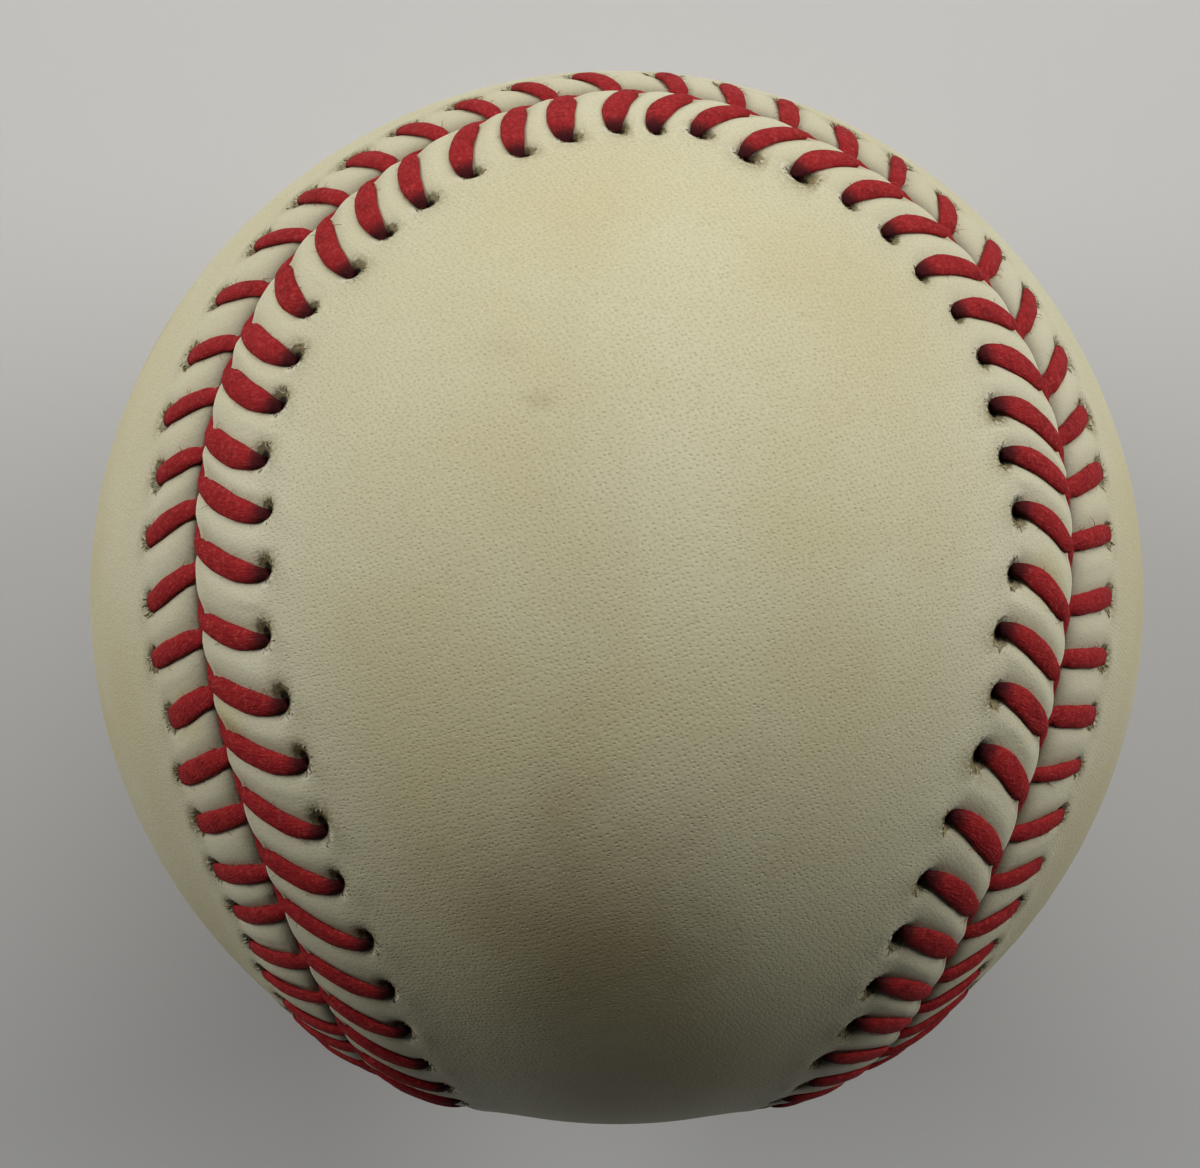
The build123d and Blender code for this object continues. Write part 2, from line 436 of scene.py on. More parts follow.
def leather_relief(lacing, place, setback):
    """Height of the leather over its plain sphere, and marks for its material.

    A lip that rises towards the seam, pillows between the threads, a groove pressed under each thread, a pit
    at each needle hole with a ruck beyond it, and an edge that rolls down into the seam.
    """
    panel = lacing.panel
    stitch, past = lacing.nearest(place, setback)
    beyond = setback - lacing.hole_setback[stitch]
    rise = panel.lip_rise * (1 - smooth(LIP_TOP, LIP_START, setback))
    along_thread = smooth(*PRESS_FROM_SEAM, setback) * (1 - smooth(*PRESS_TO_HOLE, beyond))
    pressed = bump_at(past, PRESS_WIDTH) * along_thread
    full = smooth(*PILLOW_FROM_SEAM, setback) * (1 - smooth(*PILLOW_TO_HOLE, beyond))
    swell = PILLOW_SHARE * panel.lip_rise * lacing.pillow[stitch]
    pillow = swell * (1 - bump_at(past, PILLOW_GAP)) * full
    pit, rim, grime = hole_shape(lacing, stitch, past, beyond)
    ruck = RUCK_HEIGHT * bump_at(past, RUCK_WIDTH) * bump_at(beyond - RUCK_BEYOND, RUCK_REACH)
    raised = rise + pillow + ruck + RIM_HEIGHT * rim
    height = raised - PRESS_DEPTH * pressed - PIT_DEPTH * pit - edge_roll(panel, setback)
    # The crease is darkened partly by soil and partly by painted shade where the leather dips into the seam
    crease = panel.crease_share * np.exp(-setback / panel.crease_reach)
    if panel.creased_at_threads_only:
        crease = crease * bump_at(past, CREASE_WIDTH)
    # A painted highlight along the cut edge between the stitches, where the rolled edge would catch the light
    edge_highlight_mask = bump_at(setback, CUT_EDGE_REACH) * (1 - bump_at(past, CUT_EDGE_GAP))
    marks = {
        "needle_hole": pit,
        "hole_grime": grime,
        "torn_rim": rim,
        "seam_crease": crease,
        "cut_edge": panel.cut_edge_share * edge_highlight_mask,
        "thread_press": pressed,
        "seam_distance": np.clip(setback / SEAM_FAR, 0, 1),
    }
    return height, marks


def panel_middle(side, share):
    """Unit directions to a panel's middle line for shares of the seam's length.

    Each quarter of the seam leads from just past a lobe's middle to the waist, by a power of the share.
    """
    quarter, half = 0.25, 0.5
    past_waist = share - (quarter if side > 0 else 0.0) + quarter
    second_lobe = np.mod(past_waist, 1.0) >= half
    from_lobe = np.abs(np.mod(past_waist, half) - quarter) / quarter
    angle = -LOBE_END + (math.pi / 2 + LOBE_END) * from_lobe**MIDDLE_POWER
    to_waist = np.sin(angle)
    lobe_axis = np.where(second_lobe, -1.0, 1.0) * np.cos(angle)
    level = np.zeros_like(angle)
    if side > 0:
        return np.stack([level, -to_waist, lobe_axis], axis=-1)
    return np.stack([lobe_axis, to_waist, level], axis=-1)


def hide_map(side, directions):
    """Flat map of a panel: the angles across and along its middle line, times the cover's radius."""
    x, y, z = directions[..., 0], directions[..., 1], directions[..., 2]
    if side > 0:
        across, along = np.arcsin(np.clip(x, -1, 1)), -np.arctan2(z, -y)
    else:
        across, along = np.arcsin(np.clip(z, -1, 1)), np.arctan2(x, y)
    return np.stack([across, along], axis=-1) * COVER_RADIUS


def panel_grid(lacing, share):
    """Points of a panel on a grid, the marks of its band, and how far its field is from the band.

    Columns lie along the seam. Rows go from the middle line over the field and over the band beside the seam
    to the cut edge, down the edge, back over the thread's channel and in under the hide. The field lies on
    the cover's sphere, and the band lies on that sphere plus the leather's relief.
    """
    side = lacing.panel.side
    middle = panel_middle(side, share)[:, None]
    place = (share * SEAM_LENGTH)[:, None]
    edge = lip_edge(lacing, place)
    setback = BAND_SETBACKS + edge * np.exp(-BAND_SETBACKS / DRAW_FADE)
    places = np.broadcast_to(place, setback.shape)
    band = beside_seam(places, side * setback)
    height, marks = leather_relief(lacing, places, np.broadcast_to(BAND_SETBACKS, setback.shape))
    start = band[:, :1]
    field_shares = FIELD_SHARES[:, None]
    field = unit(middle * (1 - field_shares) + start * field_shares)
    away = np.arccos(np.clip(np.sum(field * start, -1), -1, 1)) * COVER_RADIUS
    edge_top = COVER_RADIUS + height[:, -1:]
    wall = edge_top + (LIP_BORE - edge_top) * WALL_SHARES
    channel = beside_seam(place, np.full_like(place, side * CHANNEL_REACH))
    under_shares = UNDER_SHARES[:, None]
    rows = [
        field * COVER_RADIUS,
        band * (COVER_RADIUS + height)[..., None],
        beside_seam(place, side * edge) * wall[..., None],
        channel * np.array([LIP_BORE, COVER_BORE])[:, None],
        unit(channel * (1 - under_shares) + middle * under_shares) * COVER_BORE,
    ]
    return np.concatenate(rows, axis=1), marks, np.clip(away / FIELD_REACH, 0, 1)


def panel_faces(side, columns, rows):
    """Faces of a panel's grid, with the columns on both sides of its middle line zipped together there."""
    number = np.arange(columns * rows).reshape(columns, rows)
    column = np.arange(columns)
    mirror = (columns // 2 - column if side > 0 else -column) % columns
    zipped = np.minimum(column, mirror)
    number[:, 0] = number[zipped, 0]
    number[:, -1] = number[zipped, -1]
    ahead = np.roll(number, -1, axis=0)
    quads = np.stack([number[:, :-1], number[:, 1:], ahead[:, 1:], ahead[:, :-1]], axis=-1).reshape(-1, 4)
    return quads if side > 0 else quads[:, ::-1]


def cover_panel(name, node, lacing, material):
    """A leather panel as one closed mesh, with its marks and its flat map."""
    side = lacing.panel.side
    columns = COLUMNS_PER_STITCH * STITCH_COUNT
    grid, marks, field_distance = panel_grid(lacing, np.arange(columns) / columns)
    rows = grid.shape[1]
    used, faces = np.unique(panel_faces(side, columns, rows), return_inverse=True)
    points = grid.reshape(-1, 3)[used]
    piece = make_piece(name, points, [faces.reshape(-1, 4)], material)
    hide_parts(node)
    hidden = rows - FIELD_SHARES.size - BAND_SETBACKS.size
    for mark, values in marks.items():
        before = np.repeat(values[:, :1], FIELD_SHARES.size, axis=1)
        if mark == "seam_distance":
            before = FIELD_START + (1 - FIELD_START) * field_distance
        after = np.repeat(values[:, -1:], hidden, axis=1)
        # The channel and the hide under the lip take the full needle-hole mark, so they are painted with the
        # hole's dark shade as painted shade in the seam's gap
        after[:, WALL_SHARES.size :] = mark == "needle_hole"
        set_mark(piece, mark, np.concatenate([before, values, after], axis=1).reshape(-1)[used])
    set_map(piece, "hide", hide_map(side, unit(points)))


def curve_through(knots, at):
    """Points of a smooth curve through knots, by the Catmull-Rom cubic of each knot and its neighbours."""
    last = knots.shape[1] - 1
    lower = np.clip(np.floor(at).astype(int), 0, last - 1)
    share = (at - lower)[None, :, None]
    before, start = knots[:, np.clip(lower - 1, 0, last)], knots[:, lower]
    end, after = knots[:, lower + 1], knots[:, np.clip(lower + 2, 0, last)]
    slope_in, slope_out = (end - before) / 2, (after - start) / 2
    rest = end - start
    bend = 3 * rest - 2 * slope_in - slope_out
    twist = slope_in + slope_out - 2 * rest
    return start + share * (slope_in + share * (bend + share * twist))


def knot(place, setback, radius):
    """One knot of many stitches' routes."""
    return np.stack(np.broadcast_arrays(place, setback, radius), axis=-1)


def stitch_route(lacing, other, stations):
    """Place, setback and radius along some stitches of one panel, as a curve through knots.

    It goes from the seam under the lip, up through the needle hole, over the lip and down into the seam.
    """
    panel = lacing.panel
    hole = lacing.hole_place[stations]
    reach = lacing.hole_setback[stations]
    first = hole + PITCH - other.lead[stations]
    knots = [
        knot(first + (hole - first) * share, reach * share + step, COVER_BORE + THREAD_LIFT + height)
        for share, step, height in UNDER_KNOTS
    ]
    for share, height in OVER_KNOTS:
        crossing = lacing.thread_place(stations, reach * share)
        knots.append(knot(crossing, reach * share, COVER_RADIUS + height - panel.thread_sunk))
    last = hole - lacing.lead[stations] - panel.thread_tail
    knots.append(knot(last, TAIL_SETBACK, COVER_RADIUS + TAIL_HEIGHT))
    return curve_through(np.stack(knots, axis=1), RING_KNOTS)


def strand_stitches(lacing, other, stations):
    """Rings of thread along some stitches of one panel, with a share of thread not darkened towards its needle
    hole, and a flat map.

    Each ring is a flattened ellipse whose shallow plies twist along the thread.
    """
    panel = lacing.panel
    route = stitch_route(lacing, other, stations)
    spine = beside_seam(route[..., 0], panel.side * route[..., 1]) * route[..., 2:]
    along = unit(np.gradient(spine, axis=1))
    sideways = unit(np.cross(unit(spine), along))
    upward = np.cross(along, sideways)
    steps = np.linalg.norm(np.diff(spine, axis=1), axis=-1)
    length = np.cumsum(np.pad(steps, ((0, 0), (1, 0))), axis=1)[..., None]
    around = np.arange(THREAD_SIDES) / THREAD_SIDES * 2 * math.pi
    ply = 1 + PLY_DEPTH * np.cos(around * PLY_COUNT - length * PLY_TWIST)
    knot_number = np.arange(LAST_KNOT + 1)
    half_width = np.interp(RING_KNOTS, knot_number, panel.thread_half_widths)[:, None]
    half_depth = np.interp(RING_KNOTS, knot_number, THREAD_HALF_DEPTHS)[:, None]
    wide = half_width * lacing.fullness[stations][:, None, None] * np.cos(around) * ply
    deep = half_depth * np.sin(around) * ply
    rings = spine[:, :, None] + sideways[:, :, None] * wide[..., None] + upward[:, :, None] * deep[..., None]
    to_hole = route[..., 1] / lacing.hole_setback[stations][:, None]
    undarkened = 1 - smooth(panel.thread_dark_from, 1.0, to_hole)
    undarkened = np.repeat(undarkened[..., None], THREAD_SIDES, axis=2)
    flat = np.stack(np.broadcast_arrays(length, around), axis=-1)
    return rings, undarkened, flat


def tube_faces(rings):
    """Faces of many closed tubes from an array of their rings: the walls, and one face over each end."""
    number = np.arange(rings[..., 0].size).reshape(rings.shape[:3])
    beside = np.roll(number, -1, axis=2)
    walls = np.stack([number[:, :-1], beside[:, :-1], beside[:, 1:], number[:, 1:]], axis=-1)
    return [walls.reshape(-1, 4), number[:, 0, ::-1], number[:, -1]]


def stitching_strand(name, node, lacing_even, lacing_odd, material):
    """One strand of lacing: it takes the panels in turn, with closed lengths of thread from seam to seam."""
    even, odd = np.arange(0, STITCH_COUNT, 2), np.arange(1, STITCH_COUNT, 2)
    halves = strand_stitches(lacing_even, lacing_odd, even), strand_stitches(lacing_odd, lacing_even, odd)
    rings, undarkened, flat = (np.concatenate(both) for both in zip(*halves))
    piece = make_piece(name, rings.reshape(-1, 3), tube_faces(rings), material)
    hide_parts(node)
    set_mark(piece, "undarkened", undarkened)
    dye = np.repeat(chance.uniform(0, 1, STITCH_COUNT), rings[0, ..., 0].size)
    set_mark(piece, "dye", dye)
    set_map(piece, "lay", flat.reshape(-1, 2) + np.stack([dye * MAP_SHIFT, 0 * dye], axis=-1))


def fibre_tubes(starts, pulls, tips, thickness):
    """Thin tubes along quadratic curves, from arrays of start, middle pull and tip, tapering to the tip."""
    share = np.linspace(0, 1, FIBRE_RINGS)[None, :, None]
    leaving, passing, reaching = (1 - share) ** 2, 2 * share * (1 - share), share**2
    spine = starts[:, None] * leaving + pulls[:, None] * passing + tips[:, None] * reaching
    along = unit(np.gradient(spine, axis=1))
    sideways = unit(np.cross(along, unit(spine) + FIBRE_TILT))
    upward = np.cross(sideways, along)
    around = (np.arange(FIBRE_SIDES) / FIBRE_SIDES * 2 * math.pi)[:, None]
    radius = thickness[:, None, None, None] * (1 - FIBRE_TAPER * share[..., None])
    ring = sideways[:, :, None] * np.cos(around) + upward[:, :, None] * np.sin(around)
    return spine[:, :, None] + ring * radius


def hole_fringe(lacing):
    """Frayed hide round each needle hole: short fibres from its rim that curl out over the leather."""
    side = lacing.panel.side
    stitch = np.repeat(np.arange(STITCH_COUNT), FRINGE_PER_HOLE)
    angle = chance.uniform(-FRINGE_PAST_HALF_TURN, math.pi + FRINGE_PAST_HALF_TURN, stitch.size)
    ring = lacing.hole_size[stitch] * chance.uniform(*FRINGE_RING, stitch.size)
    out_along, out_beyond = -np.cos(angle), np.sin(angle)
    place = lacing.hole_place[stitch] - lacing.panel.hole_upstream + out_along * FRINGE_ALONG * ring
    setback = lacing.hole_setback[stitch] + FRINGE_BEYOND + out_beyond * FRINGE_ACROSS * ring
    length = chance.uniform(*FRINGE_LENGTH, stitch.size)
    swerve = chance.normal(0, FRINGE_SWERVE, stitch.size)
    tip_place = place + (out_along - swerve * out_beyond) * length
    tip_setback = setback + (out_beyond + swerve * out_along) * length
    lift = chance.uniform(*FRINGE_LIFT, stitch.size)
    ground = COVER_RADIUS + leather_relief(lacing, place, setback)[0]
    tip_ground = COVER_RADIUS + leather_relief(lacing, tip_place, tip_setback)[0]
    start = beside_seam(place, side * setback) * (ground - FRINGE_ROOT)[:, None]
    tip = beside_seam(tip_place, side * tip_setback) * (tip_ground + lift * FRINGE_TIP_SHARE)[:, None]
    pull = unit(start + tip) * (np.maximum(ground, tip_ground) + lift)[:, None]
    rings = fibre_tubes(start, pull, tip, chance.uniform(*FRINGE_THICKNESS, stitch.size))
    return rings, chance.uniform(0, 1, stitch.size)


def thread_fuzz(lacing):
    """Loose red fibres that stand off each stitch's edges and lie back along it."""
    side = lacing.panel.side
    stitch = np.repeat(np.arange(STITCH_COUNT), FUZZ_PER_STITCH)
    setback = lacing.hole_setback[stitch] * chance.uniform(*FUZZ_SPAN, stitch.size)
    edge = np.where(chance.uniform(0, 1, stitch.size) < 0.5, -1.0, 1.0)
    place = lacing.thread_place(stitch, setback) + edge * chance.uniform(*FUZZ_FROM_MIDDLE, stitch.size)
    out = edge * chance.uniform(*FUZZ_OUT, stitch.size)
    run = chance.normal(0, FUZZ_RUN, stitch.size)
    lift = chance.uniform(*FUZZ_LIFT, stitch.size)
    ground = COVER_RADIUS + leather_relief(lacing, place, setback)[0]
    start = beside_seam(place, side * setback) * (ground + FUZZ_ROOT)[:, None]
    tip = beside_seam(place + out, side * (setback + run)) * (ground + FUZZ_TIP + lift)[:, None]
    pull = unit(start + tip) * (ground + FUZZ_BOW + lift)[:, None]
    rings = fibre_tubes(start, pull, tip, chance.uniform(*FUZZ_THICKNESS, stitch.size))
    return rings, chance.uniform(0, 1, stitch.size)


def loose_fibres(name, maker, material):
    """Both panels' closed loose fibres in one mesh, each fibre with one shade for its material."""
    rings, shade = (np.concatenate(both) for both in zip(maker(lacing_a), maker(lacing_b)))
    piece = make_piece(name, rings.reshape(-1, 3), tube_faces(rings), material)
    set_mark(piece, "shade", np.repeat(shade, rings[0, ..., 0].size))


def add_node(tree, kind, inputs=None, **settings):
    """New node with settings, and with links, numbers or colours on its named inputs."""
    made = tree.nodes.new(kind)
    for key, value in settings.items():
        setattr(made, key, value)
    for key, value in (inputs or {}).items():
        socket = made.inputs[key]
        if isinstance(value, bpy.types.NodeSocket):
            tree.links.new(value, socket)
        elif socket.type == "RGBA":
            socket.default_value = (*value, 1.0)
        else:
            socket.default_value = value
    return made


def math_node(tree, operation, *terms):
    """Result of one arithmetic step on numbers or links."""
    return add_node(tree, "ShaderNodeMath", dict(enumerate(terms)), operation=operation).outputs[0]


def vector_node(tree, operation, *terms):
    """Node of one arithmetic step on vectors or links."""
    return add_node(tree, "ShaderNodeVectorMath", dict(enumerate(terms)), operation=operation)


def mix_colour(tree, share, first, second):
    """Colour between two colours or links."""
    return add_node(tree, "ShaderNodeMix", {0: share, 6: first, 7: second}, data_type="RGBA").outputs[2]


def tint_over(tree, colour, mask, share, tint):
    """Colour with a share of a tint laid over it where the mask is."""
    return mix_colour(tree, math_node(tree, "MULTIPLY", mask, share), colour, tint)


def ramp(tree, value, low, high):
    """Eased share of a number between two limits."""
    limits = {0: value, 1: low, 2: high}
    return add_node(tree, "ShaderNodeMapRange", limits, interpolation_type="SMOOTHSTEP").outputs[0]


def noise(tree, vector, scale, detail=3.0, roughness=0.55):
    """Noise texture's number."""
    look = {"Vector": vector, "Scale": scale, "Detail": detail, "Roughness": roughness}
    return add_node(tree, "ShaderNodeTexNoise", look).outputs[0]


def mark_value(tree, name):
    """Number stored on the mesh under a name."""
    return add_node(tree, "ShaderNodeAttribute", attribute_name=name).outputs["Fac"]


def flat_map(tree, name):
    """Flat map stored on the mesh under a name."""
    return add_node(tree, "ShaderNodeUVMap", uv_map=name).outputs[0]


def object_place(tree):
    """Place in the ball's own frame, in metres."""
    return add_node(tree, "ShaderNodeTexCoord").outputs["Object"]


def new_material(name, roughness, specular=0.3):
    """Material with its own shader, and the tree to build on."""
    material = bpy.data.materials.new(name)
    material.use_nodes = True
    tree = material.node_tree
    tree.nodes.clear()
    sheen = {"Roughness": roughness, "Specular IOR Level": specular}
    shader = add_node(tree, "ShaderNodeBsdfPrincipled", sheen)
    add_node(tree, "ShaderNodeOutputMaterial", {0: shader.outputs[0]})
    return material, tree, shader


def add_bump(tree, shader, height, depth):
    """Raise a surface by a height number times a depth in metres."""
    made = add_node(tree, "ShaderNodeBump", {"Height": height, "Distance": depth})
    tree.links.new(made.outputs[0], shader.inputs["Normal"])


def new_group(name, inputs, outputs):
    """Empty shader group with named sockets of given kinds, what it is given and what it puts out."""
    group = bpy.data.node_groups.new(name, "ShaderNodeTree")
    for in_out, sockets in (("INPUT", inputs), ("OUTPUT", outputs)):
        for socket, kind in sockets.items():
            group.interface.new_socket(socket, in_out=in_out, socket_type=f"NodeSocket{kind}")
    return group, add_node(group, "NodeGroupInput").outputs, add_node(group, "NodeGroupOutput").inputs


def mottle_group():
    """Group: a colour that drifts between two others in soft blotches, with fine specks of a third."""
    group, given, result = new_group(
        "mottle",
        {
            "Vector": "Vector",
            "Main": "Color",
            "Drift": "Color",
            "Speck": "Color",
            "Blotch Scale": "Float",
            "Speck Scale": "Float",
            "Speck Share": "Float",
        },
        {"Color": "Color", "Height": "Float"},
    )
    blotch = ramp(group, noise(group, given["Vector"], given["Blotch Scale"]), 0.35, 0.68)
    fine = noise(group, given["Vector"], given["Speck Scale"], detail=4.0, roughness=0.65)
    drifted = mix_colour(group, blotch, given["Main"], given["Drift"])
    specked = tint_over(group, drifted, ramp(group, fine, 0.58, 0.72), given["Speck Share"], given["Speck"])
    group.links.new(specked, result["Color"])
    group.links.new(fine, result["Height"])
    return group


def fibre_group():
    """Group: height of twisted fibres that run along a flat map's first axis at a slant."""
    group, given, result = new_group(
        "fibres",
        {"Map": "Vector", "Slant": "Float", "Scale": "Float", "Stretch": "Float"},
        {"Height": "Float"},
    )
    split = add_node(group, "ShaderNodeSeparateXYZ", {0: given["Map"]}).outputs
    lean = math_node(group, "MULTIPLY_ADD", split[0], given["Slant"], split[1])
    run = math_node(group, "DIVIDE", split[0], given["Stretch"])
    joined = add_node(group, "ShaderNodeCombineXYZ", {0: run, 1: lean, 2: split[2]}).outputs[0]
    group.links.new(noise(group, joined, given["Scale"], roughness=0.6), result["Height"])
    return group


def stain_group():
    """Group: mask of one soft stain with an uneven outline, from its centre and half-size on a flat map."""
    group, given, result = new_group(
        "stain",
        {"Map": "Vector", "Centre": "Vector", "Half Size": "Vector"},
        {"Mask": "Float"},
    )
    offset = vector_node(group, "SUBTRACT", given["Map"], given["Centre"]).outputs[0]
    scaled = vector_node(group, "DIVIDE", offset, given["Half Size"]).outputs[0]
    away = vector_node(group, "LENGTH", scaled).outputs["Value"]
    ragged = noise(group, scaled, 1.6, detail=4.0, roughness=0.6)
    outline = math_node(group, "MULTIPLY_ADD", ragged, 1.1, away)
    group.links.new(math_node(group, "SUBTRACT", 1.0, ramp(group, outline, 0.55, 1.55)), result["Mask"])
    return group


mottle = mottle_group()
fibres = fibre_group()
stain = stain_group()


def mottled(tree, main, drift, speck, blotch_scale, speck_scale, speck_share):
    """What the mottle group puts out in the ball's own frame."""
    look = {
        "Vector": object_place(tree),
        "Main": main,
        "Drift": drift,
        "Speck": speck,
        "Blotch Scale": blotch_scale,
        "Speck Scale": speck_scale,
        "Speck Share": speck_share,
    }
    return add_node(tree, "ShaderNodeGroup", look, node_tree=mottle).outputs


def fibre_height(tree, lie, slant, scale, stretch):
    """Height that the fibres group puts out on a map."""
    look = {"Map": lie, "Slant": slant, "Scale": scale, "Stretch": stretch}
    return add_node(tree, "ShaderNodeGroup", look, node_tree=fibres).outputs["Height"]


def stain_mask(tree, lie, centre, half_size):
    """Mask that the stain group puts out on a map."""
    look = {"Map": lie, "Centre": (*centre, 0.0), "Half Size": (*half_size, 1.0)}
    return add_node(tree, "ShaderNodeGroup", look, node_tree=stain).outputs["Mask"]


# Tones of the worn hide
CREAM = (0.60, 0.562, 0.370)
TAN = (0.56, 0.503, 0.295)
FLECK = (0.40, 0.35, 0.21)
HANDLED_LIP = (0.585, 0.558, 0.405)
PORE_SOIL = (0.30, 0.26, 0.15)
DARK_GRAIN = (0.34, 0.30, 0.18)
PALE_GRAIN = (0.78, 0.75, 0.60)
DARK_OLIVE = (0.125, 0.098, 0.038)
PALE_OLIVE = (0.33, 0.27, 0.13)
# Soil and painted shade in the seam crease
CREASE_SOIL_AND_SHADE = (0.16, 0.12, 0.075)
# Painted highlight on the cut edge of the lip
CUT_EDGE_HIGHLIGHT = (0.78, 0.74, 0.62)
# Grime and a painted contact shadow in the groove beside each thread
THREAD_SHADOW_AND_GRIME = (0.30, 0.22, 0.13)
TORN_HIDE = (0.74, 0.71, 0.58)
HOLE_SHADE = (0.018, 0.012, 0.007)

# Stains of the worn hide, the second one widened into painted shade: centre and half-size on its flat map,
# share of the tint, and the tint
HIDE_STAINS = (
    ((-0.35, -6.40), (0.75, 2.60), 0.26, (0.47, 0.41, 0.225)),
    # A brown patch, widened and deepened into painted shade on the side away from the lamps
    ((-0.30, -4.10), (1.25, 1.35), 0.75, (0.33, 0.26, 0.125)),
    ((-0.63, -7.45), (0.17, 0.10), 0.30, (0.28, 0.225, 0.11)),
    ((-0.87, -7.83), (0.24, 0.18), 0.14, (0.33, 0.28, 0.15)),
    ((0.90, -6.75), (0.70, 0.60), 0.40, (0.53, 0.46, 0.22)),
    ((-2.71, -5.22), (0.28, 0.40), 0.60, (0.55, 0.44, 0.17)),
    ((2.70, -6.45), (0.25, 0.30), 0.60, (0.55, 0.45, 0.17)),
)

# Pores of the hide: their rows' slant, how many to a centimetre, how far they wander, and a depth in metres
PORE_SLANT = math.radians(27)
PORES_PER_CM = (26.0, 32.0, 1.0)
PORE_WANDER = (3.0, 3.0, 0.0)
PORE_DEPTH = 0.000032


def pore_pattern(tree, hide, seam_distance):
    """Share of pore, in slanting rows that wander and fade towards the seam, and the wandering map itself."""
    slant = {"Vector": hide, "Rotation": (0, 0, PORE_SLANT), "Scale": PORES_PER_CM}
    slanted = add_node(tree, "ShaderNodeMapping", slant).outputs[0]
    wander = add_node(tree, "ShaderNodeTexNoise", {"Vector": hide, "Scale": 3.0, "Detail": 2.0}).outputs[1]
    shifted = vector_node(tree, "MULTIPLY_ADD", wander, PORE_WANDER, slanted).outputs[0]
    rows = {"Vector": shifted, "Scale": 1.0, "Randomness": 0.5}
    cells = add_node(tree, "ShaderNodeTexVoronoi", rows, voronoi_dimensions="2D")
    pore = math_node(tree, "SUBTRACT", 1.0, ramp(tree, cells.outputs["Distance"], 0.04, 0.36))
    depth = ramp(tree, noise(tree, hide, 16.0, detail=4.0, roughness=0.7), 0.2, 0.72)
    on_field = math_node(tree, "MULTIPLY_ADD", ramp(tree, seam_distance, 0.2, 0.36), 0.6, 0.4)
    return math_node(tree, "MULTIPLY", math_node(tree, "MULTIPLY", pore, depth), on_field), shifted


def leather_material():
    """Worn cream hide: slanting pores, tan drift, stains with one patch of painted shade, grime at the needle
    holes, soil mixed with painted shade at the seam, grime and a painted shadow along the threads, and a
    painted highlight on the cut edge.
    """
    material, tree, shader = new_material("worn_cream_leather", roughness=0.55, specular=0.35)
    hide = flat_map(tree, "hide")
    seam_distance = mark_value(tree, "seam_distance")
    pore, shifted = pore_pattern(tree, hide, seam_distance)

    blotched = mottled(tree, CREAM, TAN, FLECK, blotch_scale=55.0, speck_scale=1500.0, speck_share=0.30)
    by_seam = math_node(tree, "SUBTRACT", 1.0, ramp(tree, seam_distance, 0.15, 0.62))
    colour = tint_over(tree, blotched["Color"], by_seam, 0.55, HANDLED_LIP)
    for centre, half_size, share, tint in HIDE_STAINS:
        colour = tint_over(tree, colour, stain_mask(tree, hide, centre, half_size), share, tint)

    grain = noise(tree, hide, 52.0, detail=4.0, roughness=0.8)
    ragged = noise(tree, hide, 30.0, detail=5.0, roughness=0.75)
    olive = mix_colour(tree, ramp(tree, ragged, 0.4, 0.66), DARK_OLIVE, PALE_OLIVE)
    soiled = math_node(tree, "MULTIPLY", mark_value(tree, "hole_grime"), ramp(tree, ragged, 0.36, 0.60))
    crease = math_node(tree, "MULTIPLY", mark_value(tree, "seam_crease"), ramp(tree, ragged, -0.15, 0.55))
    tear = math_node(tree, "MULTIPLY_ADD", ragged, 0.7, mark_value(tree, "needle_hole"))
    torn = ramp(tree, tear, 0.50, 0.68)
    pale_rim = math_node(tree, "MULTIPLY", mark_value(tree, "torn_rim"), ramp(tree, ragged, 0.40, 0.56))
    for mask, share, tint in (
        (pore, 0.38, PORE_SOIL),
        (ramp(tree, grain, 0.5, 0.70), 0.40, DARK_GRAIN),
        (ramp(tree, grain, 0.5, 0.30), 0.34, PALE_GRAIN),
        (soiled, 1.4, olive),
        # Soil and painted shade in the seam crease
        (crease, 0.95, CREASE_SOIL_AND_SHADE),
        # Painted highlight on the cut edge
        (mark_value(tree, "cut_edge"), 0.8, CUT_EDGE_HIGHLIGHT),
        # Grime and a painted contact shadow beside each thread
        (mark_value(tree, "thread_press"), 0.35, THREAD_SHADOW_AND_GRIME),
        (torn, 0.9, olive),
        (pale_rim, 0.9, TORN_HIDE),
        (ramp(tree, tear, 0.86, 1.06), 1.0, HOLE_SHADE),
    ):
        colour = tint_over(tree, colour, mask, share, tint)
    tree.links.new(colour, shader.inputs["Base Color"])

    wrinkle = noise(tree, shifted, 0.5, detail=4.0, roughness=0.62)
    pitted = math_node(tree, "MULTIPLY_ADD", pore, -0.9, wrinkle)
    add_bump(tree, shader, math_node(tree, "MULTIPLY_ADD", torn, -1.5, pitted), PORE_DEPTH)
    tree.links.new(math_node(tree, "MULTIPLY_ADD", wrinkle, 0.2, 0.47), shader.inputs["Roughness"])
    return material


# Tones of the waxed thread, and the depth of its fibres in metres
DEEP_RED = (0.235, 0.0085, 0.0105)
BRIGHT_RED = (0.365, 0.020, 0.020)
DYED_RED = (0.31, 0.013, 0.018)
DULL_RED = (0.16, 0.0055, 0.0075)
# Paler specks of fuzz: loose fibres, partly painted sheen
PALE_FUZZ_AND_SHEEN = (0.52, 0.075, 0.065)
# Near-black on the thread where it dives into its needle hole
THREAD_DARK_AT_HOLE = (0.020, 0.004, 0.005)
THREAD_FIBRE_DEPTH = 0.00010


